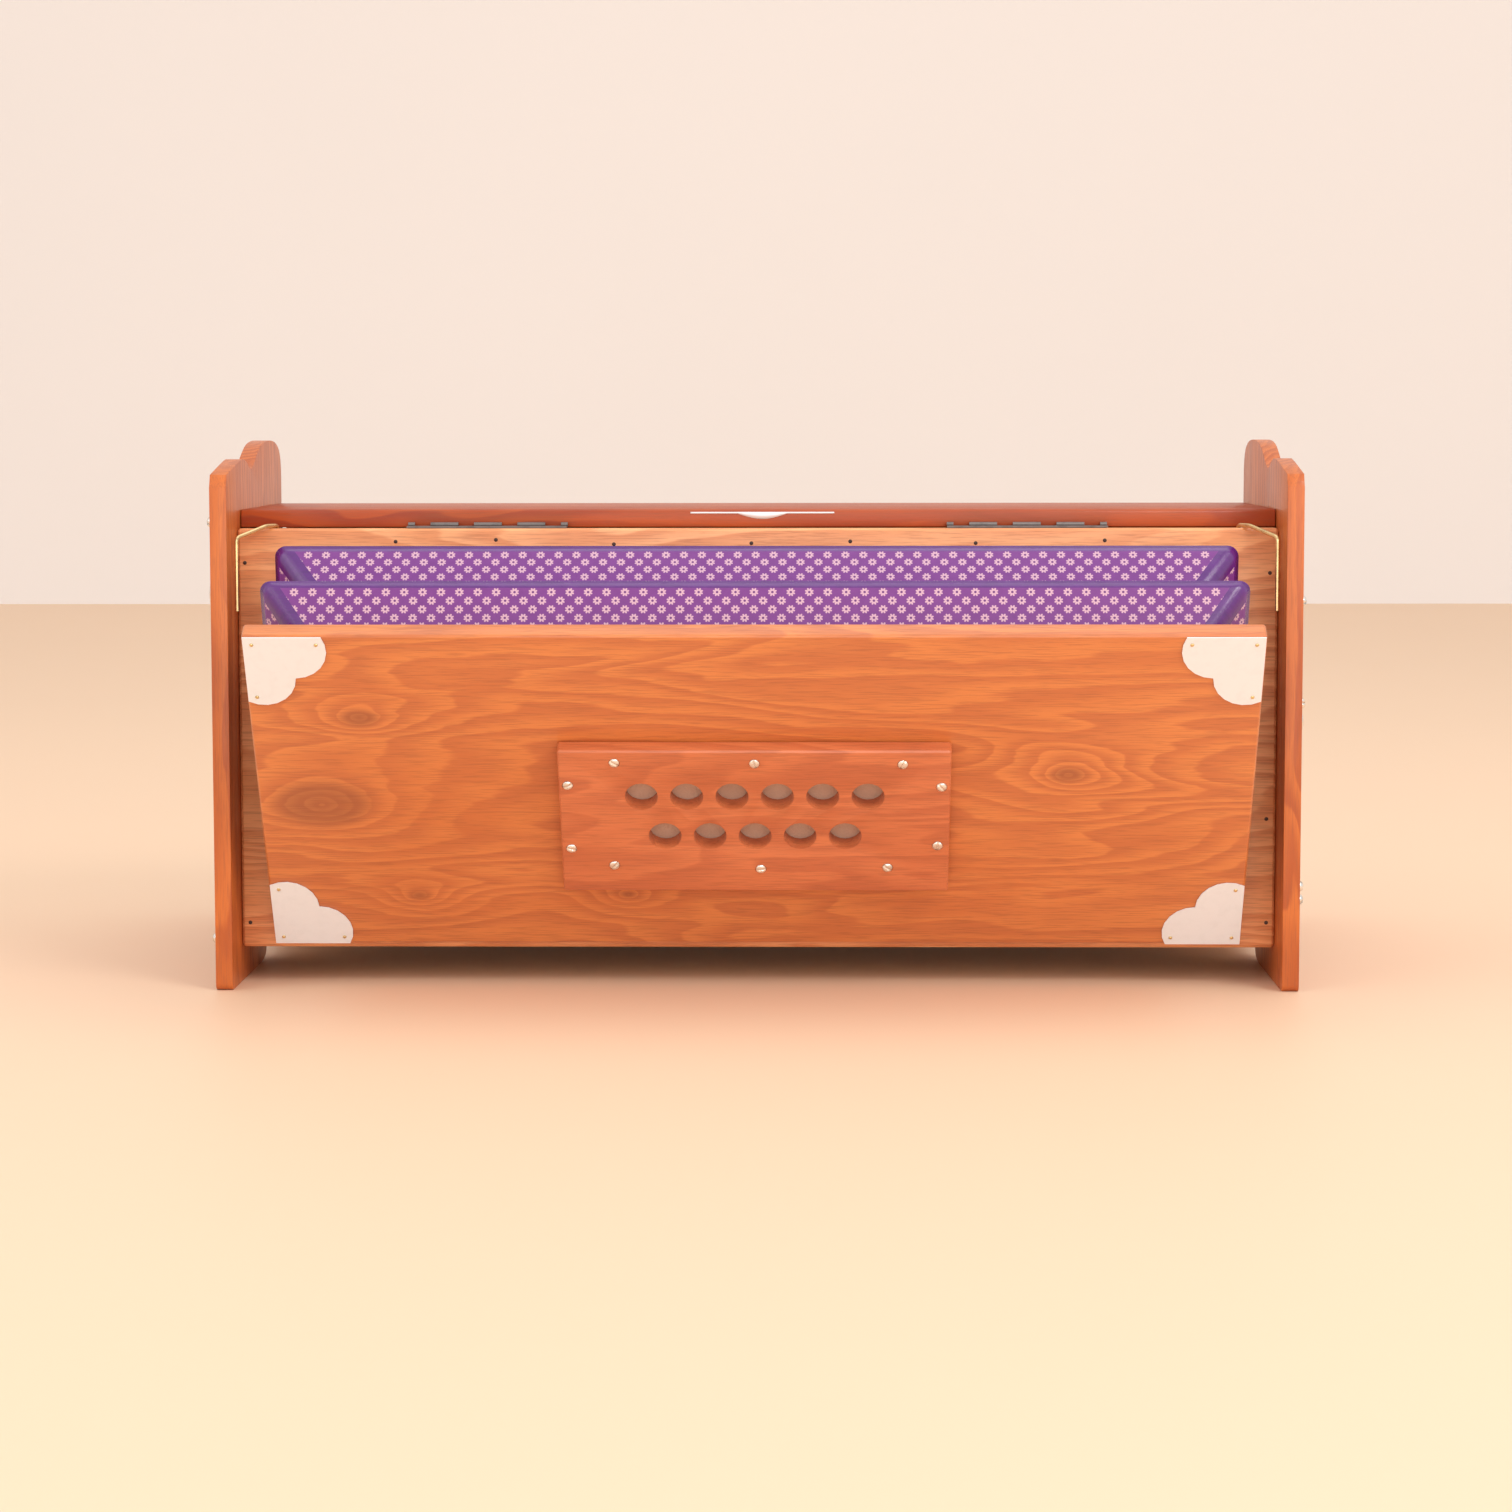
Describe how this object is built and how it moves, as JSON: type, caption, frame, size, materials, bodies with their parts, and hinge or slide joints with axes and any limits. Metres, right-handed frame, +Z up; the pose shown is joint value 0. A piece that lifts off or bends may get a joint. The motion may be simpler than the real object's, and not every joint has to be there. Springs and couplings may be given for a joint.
{
  "type": "portable harmonium",
  "caption": "Portable reed organ in varnished wood with a bottom-hinged wedge bellows part open, wire latches, a hinged lid over its keys, stop knobs and a sprung inner reservoir.",
  "frame": {"origin": "centre of the footprint of the whole part as posed, on the floor plane under the feet", "axes": "+X along the keyboard, towards the low notes; +Y from the bellows to the keyboard's front; +Z up. The bellows faces -Y, with its board open by 32 degrees."},
  "size_m": [0.61, 0.4332, 0.3085],
  "materials": {
    "teak": "clear varnish, satin to gloss",
    "inner_wood": "bare",
    "bellows_cloth": "printed cloth with glossy tape",
    "suede": "napped",
    "brass": "drawn wire",
    "hinge_steel": "plain",
    "white_metal": "stamped sheet, satin",
    "black_knob": "polished",
    "key_white": "polished",
    "key_black": "satin"
  },
  "bodies": {
    "case": {"left_cheek": "teak", "right_cheek": "teak", "base_board": "inner_wood", "bellows_frame": "teak", "front_board": "teak", "reed_board": "inner_wood", "left_lid_hinge": "hinge_steel", "right_lid_hinge": "hinge_steel"},
    "bellows_fold_1": {"bellows_fold_1": "bellows_cloth"},
    "bellows_fold_2": {"bellows_fold_2": "bellows_cloth"},
    "bellows_board": {"bellows_board": "teak", "vent_plate": "teak", "corner_plate_top_left": "white_metal", "corner_plate_top_right": "white_metal", "corner_plate_bottom_left": "white_metal", "corner_plate_bottom_right": "white_metal"},
    "valve_flap": {"valve_flap": "suede"},
    "left_latch": {"left_latch": "brass"},
    "right_latch": {"right_latch": "brass"},
    "lid": {"lid": "teak"},
    "reservoir_board": {"reservoir_board": "inner_wood"},
    "stop_knob_1": {"stop_knob_1": "black_knob"},
    "stop_knob_2": {"stop_knob_2": "black_knob"},
    "key_01_C": {"key_01_C": "key_white"},
    "key_02_C_sharp": {"key_02_C_sharp": "key_black"},
    "key_03_D": {"key_03_D": "key_white"},
    "key_04_D_sharp": {"key_04_D_sharp": "key_black"},
    "key_05_E": {"key_05_E": "key_white"},
    "key_06_F": {"key_06_F": "key_white"},
    "key_07_F_sharp": {"key_07_F_sharp": "key_black"},
    "key_08_G": {"key_08_G": "key_white"},
    "key_09_G_sharp": {"key_09_G_sharp": "key_black"},
    "key_10_A": {"key_10_A": "key_white"},
    "key_11_A_sharp": {"key_11_A_sharp": "key_black"},
    "key_12_B": {"key_12_B": "key_white"},
    "key_13_C": {"key_13_C": "key_white"},
    "key_14_C_sharp": {"key_14_C_sharp": "key_black"},
    "key_15_D": {"key_15_D": "key_white"},
    "key_16_D_sharp": {"key_16_D_sharp": "key_black"},
    "key_17_E": {"key_17_E": "key_white"},
    "key_18_F": {"key_18_F": "key_white"},
    "key_19_F_sharp": {"key_19_F_sharp": "key_black"},
    "key_20_G": {"key_20_G": "key_white"},
    "key_21_G_sharp": {"key_21_G_sharp": "key_black"},
    "key_22_A": {"key_22_A": "key_white"},
    "key_23_A_sharp": {"key_23_A_sharp": "key_black"},
    "key_24_B": {"key_24_B": "key_white"},
    "key_25_C": {"key_25_C": "key_white"},
    "key_26_C_sharp": {"key_26_C_sharp": "key_black"},
    "key_27_D": {"key_27_D": "key_white"},
    "key_28_D_sharp": {"key_28_D_sharp": "key_black"},
    "key_29_E": {"key_29_E": "key_white"},
    "key_30_F": {"key_30_F": "key_white"},
    "key_31_F_sharp": {"key_31_F_sharp": "key_black"},
    "key_32_G": {"key_32_G": "key_white"},
    "key_33_G_sharp": {"key_33_G_sharp": "key_black"},
    "key_34_A": {"key_34_A": "key_white"},
    "key_35_A_sharp": {"key_35_A_sharp": "key_black"},
    "key_36_B": {"key_36_B": "key_white"},
    "key_37_C": {"key_37_C": "key_white"}
  },
  "joints": [
    {"name": "bellows_hinge", "type": "hinge", "parent": "case", "child": "bellows_fold_1", "pos_m": [0, -0.0923, 0.03], "axis": [1, 0, 0], "range_deg": [-7, 2], "deforming": ["bellows_fold_1"]},
    {"name": "bellows_fold_hinge", "type": "hinge", "parent": "bellows_fold_1", "child": "bellows_fold_2", "pos_m": [0, -0.0923, 0.03], "axis": [1, 0, 0], "range_deg": [-14, 4], "deforming": ["bellows_fold_2"]},
    {"name": "bellows_board_hinge", "type": "hinge", "parent": "bellows_fold_2", "child": "bellows_board", "pos_m": [0, -0.0923, 0.03], "axis": [1, 0, 0], "range_deg": [-7, 2]},
    {"name": "left_latch_pivot", "type": "hinge", "parent": "case", "child": "left_latch", "pos_m": [-0.273, -0.08471, 0.2594], "axis": [0, 0, 1], "range_deg": [0, 30]},
    {"name": "right_latch_pivot", "type": "hinge", "parent": "case", "child": "right_latch", "pos_m": [0.273, -0.08471, 0.2594], "axis": [0, 0, -1], "range_deg": [0, 30]},
    {"name": "lid_hinge", "type": "hinge", "parent": "case", "child": "lid", "pos_m": [0, -0.07951, 0.2612], "axis": [1, 0, 0], "range_deg": [0, 90]},
    {"name": "stop_1_slide", "type": "slide", "parent": "case", "child": "stop_knob_1", "axis": [0, 1, 0], "range_m": [0, 0.02]},
    {"name": "stop_2_slide", "type": "slide", "parent": "case", "child": "stop_knob_2", "axis": [0, 1, 0], "range_m": [0, 0.02]},
    {"name": "valve_flap_hinge", "type": "hinge", "parent": "bellows_board", "child": "valve_flap", "pos_m": [0, -0.1674, 0.12753], "axis": [1, 0, 0], "range_deg": [0, 10]},
    {"name": "reservoir_hinge", "type": "hinge", "parent": "case", "child": "reservoir_board", "pos_m": [0, 0.18399, 0.122], "axis": [1, 0, 0], "range_deg": [0, 18], "stiffness_Nm_per_rad": 5, "springref_deg": -11.46},
    {"name": "key_01_C_hinge", "type": "hinge", "parent": "case", "child": "key_01_C", "pos_m": [0, 0.0773, 0.207], "axis": [-1, 0, 0], "range_deg": [0, 3.2], "stiffness_Nm_per_rad": 0.25, "springref_deg": -14.32},
    {"name": "key_02_C_sharp_hinge", "type": "hinge", "parent": "case", "child": "key_02_C_sharp", "pos_m": [0, 0.0773, 0.207], "axis": [-1, 0, 0], "range_deg": [0, 3.2], "stiffness_Nm_per_rad": 0.25, "springref_deg": -14.32},
    {"name": "key_03_D_hinge", "type": "hinge", "parent": "case", "child": "key_03_D", "pos_m": [0, 0.0773, 0.207], "axis": [-1, 0, 0], "range_deg": [0, 3.2], "stiffness_Nm_per_rad": 0.25, "springref_deg": -14.32},
    {"name": "key_04_D_sharp_hinge", "type": "hinge", "parent": "case", "child": "key_04_D_sharp", "pos_m": [0, 0.0773, 0.207], "axis": [-1, 0, 0], "range_deg": [0, 3.2], "stiffness_Nm_per_rad": 0.25, "springref_deg": -14.32},
    {"name": "key_05_E_hinge", "type": "hinge", "parent": "case", "child": "key_05_E", "pos_m": [0, 0.0773, 0.207], "axis": [-1, 0, 0], "range_deg": [0, 3.2], "stiffness_Nm_per_rad": 0.25, "springref_deg": -14.32},
    {"name": "key_06_F_hinge", "type": "hinge", "parent": "case", "child": "key_06_F", "pos_m": [0, 0.0773, 0.207], "axis": [-1, 0, 0], "range_deg": [0, 3.2], "stiffness_Nm_per_rad": 0.25, "springref_deg": -14.32},
    {"name": "key_07_F_sharp_hinge", "type": "hinge", "parent": "case", "child": "key_07_F_sharp", "pos_m": [0, 0.0773, 0.207], "axis": [-1, 0, 0], "range_deg": [0, 3.2], "stiffness_Nm_per_rad": 0.25, "springref_deg": -14.32},
    {"name": "key_08_G_hinge", "type": "hinge", "parent": "case", "child": "key_08_G", "pos_m": [0, 0.0773, 0.207], "axis": [-1, 0, 0], "range_deg": [0, 3.2], "stiffness_Nm_per_rad": 0.25, "springref_deg": -14.32},
    {"name": "key_09_G_sharp_hinge", "type": "hinge", "parent": "case", "child": "key_09_G_sharp", "pos_m": [0, 0.0773, 0.207], "axis": [-1, 0, 0], "range_deg": [0, 3.2], "stiffness_Nm_per_rad": 0.25, "springref_deg": -14.32},
    {"name": "key_10_A_hinge", "type": "hinge", "parent": "case", "child": "key_10_A", "pos_m": [0, 0.0773, 0.207], "axis": [-1, 0, 0], "range_deg": [0, 3.2], "stiffness_Nm_per_rad": 0.25, "springref_deg": -14.32},
    {"name": "key_11_A_sharp_hinge", "type": "hinge", "parent": "case", "child": "key_11_A_sharp", "pos_m": [0, 0.0773, 0.207], "axis": [-1, 0, 0], "range_deg": [0, 3.2], "stiffness_Nm_per_rad": 0.25, "springref_deg": -14.32},
    {"name": "key_12_B_hinge", "type": "hinge", "parent": "case", "child": "key_12_B", "pos_m": [0, 0.0773, 0.207], "axis": [-1, 0, 0], "range_deg": [0, 3.2], "stiffness_Nm_per_rad": 0.25, "springref_deg": -14.32},
    {"name": "key_13_C_hinge", "type": "hinge", "parent": "case", "child": "key_13_C", "pos_m": [0, 0.0773, 0.207], "axis": [-1, 0, 0], "range_deg": [0, 3.2], "stiffness_Nm_per_rad": 0.25, "springref_deg": -14.32},
    {"name": "key_14_C_sharp_hinge", "type": "hinge", "parent": "case", "child": "key_14_C_sharp", "pos_m": [0, 0.0773, 0.207], "axis": [-1, 0, 0], "range_deg": [0, 3.2], "stiffness_Nm_per_rad": 0.25, "springref_deg": -14.32},
    {"name": "key_15_D_hinge", "type": "hinge", "parent": "case", "child": "key_15_D", "pos_m": [0, 0.0773, 0.207], "axis": [-1, 0, 0], "range_deg": [0, 3.2], "stiffness_Nm_per_rad": 0.25, "springref_deg": -14.32},
    {"name": "key_16_D_sharp_hinge", "type": "hinge", "parent": "case", "child": "key_16_D_sharp", "pos_m": [0, 0.0773, 0.207], "axis": [-1, 0, 0], "range_deg": [0, 3.2], "stiffness_Nm_per_rad": 0.25, "springref_deg": -14.32},
    {"name": "key_17_E_hinge", "type": "hinge", "parent": "case", "child": "key_17_E", "pos_m": [0, 0.0773, 0.207], "axis": [-1, 0, 0], "range_deg": [0, 3.2], "stiffness_Nm_per_rad": 0.25, "springref_deg": -14.32},
    {"name": "key_18_F_hinge", "type": "hinge", "parent": "case", "child": "key_18_F", "pos_m": [0, 0.0773, 0.207], "axis": [-1, 0, 0], "range_deg": [0, 3.2], "stiffness_Nm_per_rad": 0.25, "springref_deg": -14.32},
    {"name": "key_19_F_sharp_hinge", "type": "hinge", "parent": "case", "child": "key_19_F_sharp", "pos_m": [0, 0.0773, 0.207], "axis": [-1, 0, 0], "range_deg": [0, 3.2], "stiffness_Nm_per_rad": 0.25, "springref_deg": -14.32},
    {"name": "key_20_G_hinge", "type": "hinge", "parent": "case", "child": "key_20_G", "pos_m": [0, 0.0773, 0.207], "axis": [-1, 0, 0], "range_deg": [0, 3.2], "stiffness_Nm_per_rad": 0.25, "springref_deg": -14.32},
    {"name": "key_21_G_sharp_hinge", "type": "hinge", "parent": "case", "child": "key_21_G_sharp", "pos_m": [0, 0.0773, 0.207], "axis": [-1, 0, 0], "range_deg": [0, 3.2], "stiffness_Nm_per_rad": 0.25, "springref_deg": -14.32},
    {"name": "key_22_A_hinge", "type": "hinge", "parent": "case", "child": "key_22_A", "pos_m": [0, 0.0773, 0.207], "axis": [-1, 0, 0], "range_deg": [0, 3.2], "stiffness_Nm_per_rad": 0.25, "springref_deg": -14.32},
    {"name": "key_23_A_sharp_hinge", "type": "hinge", "parent": "case", "child": "key_23_A_sharp", "pos_m": [0, 0.0773, 0.207], "axis": [-1, 0, 0], "range_deg": [0, 3.2], "stiffness_Nm_per_rad": 0.25, "springref_deg": -14.32},
    {"name": "key_24_B_hinge", "type": "hinge", "parent": "case", "child": "key_24_B", "pos_m": [0, 0.0773, 0.207], "axis": [-1, 0, 0], "range_deg": [0, 3.2], "stiffness_Nm_per_rad": 0.25, "springref_deg": -14.32},
    {"name": "key_25_C_hinge", "type": "hinge", "parent": "case", "child": "key_25_C", "pos_m": [0, 0.0773, 0.207], "axis": [-1, 0, 0], "range_deg": [0, 3.2], "stiffness_Nm_per_rad": 0.25, "springref_deg": -14.32},
    {"name": "key_26_C_sharp_hinge", "type": "hinge", "parent": "case", "child": "key_26_C_sharp", "pos_m": [0, 0.0773, 0.207], "axis": [-1, 0, 0], "range_deg": [0, 3.2], "stiffness_Nm_per_rad": 0.25, "springref_deg": -14.32},
    {"name": "key_27_D_hinge", "type": "hinge", "parent": "case", "child": "key_27_D", "pos_m": [0, 0.0773, 0.207], "axis": [-1, 0, 0], "range_deg": [0, 3.2], "stiffness_Nm_per_rad": 0.25, "springref_deg": -14.32},
    {"name": "key_28_D_sharp_hinge", "type": "hinge", "parent": "case", "child": "key_28_D_sharp", "pos_m": [0, 0.0773, 0.207], "axis": [-1, 0, 0], "range_deg": [0, 3.2], "stiffness_Nm_per_rad": 0.25, "springref_deg": -14.32},
    {"name": "key_29_E_hinge", "type": "hinge", "parent": "case", "child": "key_29_E", "pos_m": [0, 0.0773, 0.207], "axis": [-1, 0, 0], "range_deg": [0, 3.2], "stiffness_Nm_per_rad": 0.25, "springref_deg": -14.32},
    {"name": "key_30_F_hinge", "type": "hinge", "parent": "case", "child": "key_30_F", "pos_m": [0, 0.0773, 0.207], "axis": [-1, 0, 0], "range_deg": [0, 3.2], "stiffness_Nm_per_rad": 0.25, "springref_deg": -14.32},
    {"name": "key_31_F_sharp_hinge", "type": "hinge", "parent": "case", "child": "key_31_F_sharp", "pos_m": [0, 0.0773, 0.207], "axis": [-1, 0, 0], "range_deg": [0, 3.2], "stiffness_Nm_per_rad": 0.25, "springref_deg": -14.32},
    {"name": "key_32_G_hinge", "type": "hinge", "parent": "case", "child": "key_32_G", "pos_m": [0, 0.0773, 0.207], "axis": [-1, 0, 0], "range_deg": [0, 3.2], "stiffness_Nm_per_rad": 0.25, "springref_deg": -14.32},
    {"name": "key_33_G_sharp_hinge", "type": "hinge", "parent": "case", "child": "key_33_G_sharp", "pos_m": [0, 0.0773, 0.207], "axis": [-1, 0, 0], "range_deg": [0, 3.2], "stiffness_Nm_per_rad": 0.25, "springref_deg": -14.32},
    {"name": "key_34_A_hinge", "type": "hinge", "parent": "case", "child": "key_34_A", "pos_m": [0, 0.0773, 0.207], "axis": [-1, 0, 0], "range_deg": [0, 3.2], "stiffness_Nm_per_rad": 0.25, "springref_deg": -14.32},
    {"name": "key_35_A_sharp_hinge", "type": "hinge", "parent": "case", "child": "key_35_A_sharp", "pos_m": [0, 0.0773, 0.207], "axis": [-1, 0, 0], "range_deg": [0, 3.2], "stiffness_Nm_per_rad": 0.25, "springref_deg": -14.32},
    {"name": "key_36_B_hinge", "type": "hinge", "parent": "case", "child": "key_36_B", "pos_m": [0, 0.0773, 0.207], "axis": [-1, 0, 0], "range_deg": [0, 3.2], "stiffness_Nm_per_rad": 0.25, "springref_deg": -14.32},
    {"name": "key_37_C_hinge", "type": "hinge", "parent": "case", "child": "key_37_C", "pos_m": [0, 0.0773, 0.207], "axis": [-1, 0, 0], "range_deg": [0, 3.2], "stiffness_Nm_per_rad": 0.25, "springref_deg": -14.32}
  ],
  "couplings": [
    {"joint": "bellows_fold_hinge", "follows": "bellows_hinge", "ratio": 2},
    {"joint": "bellows_board_hinge", "follows": "bellows_hinge", "ratio": 1}
  ]
}
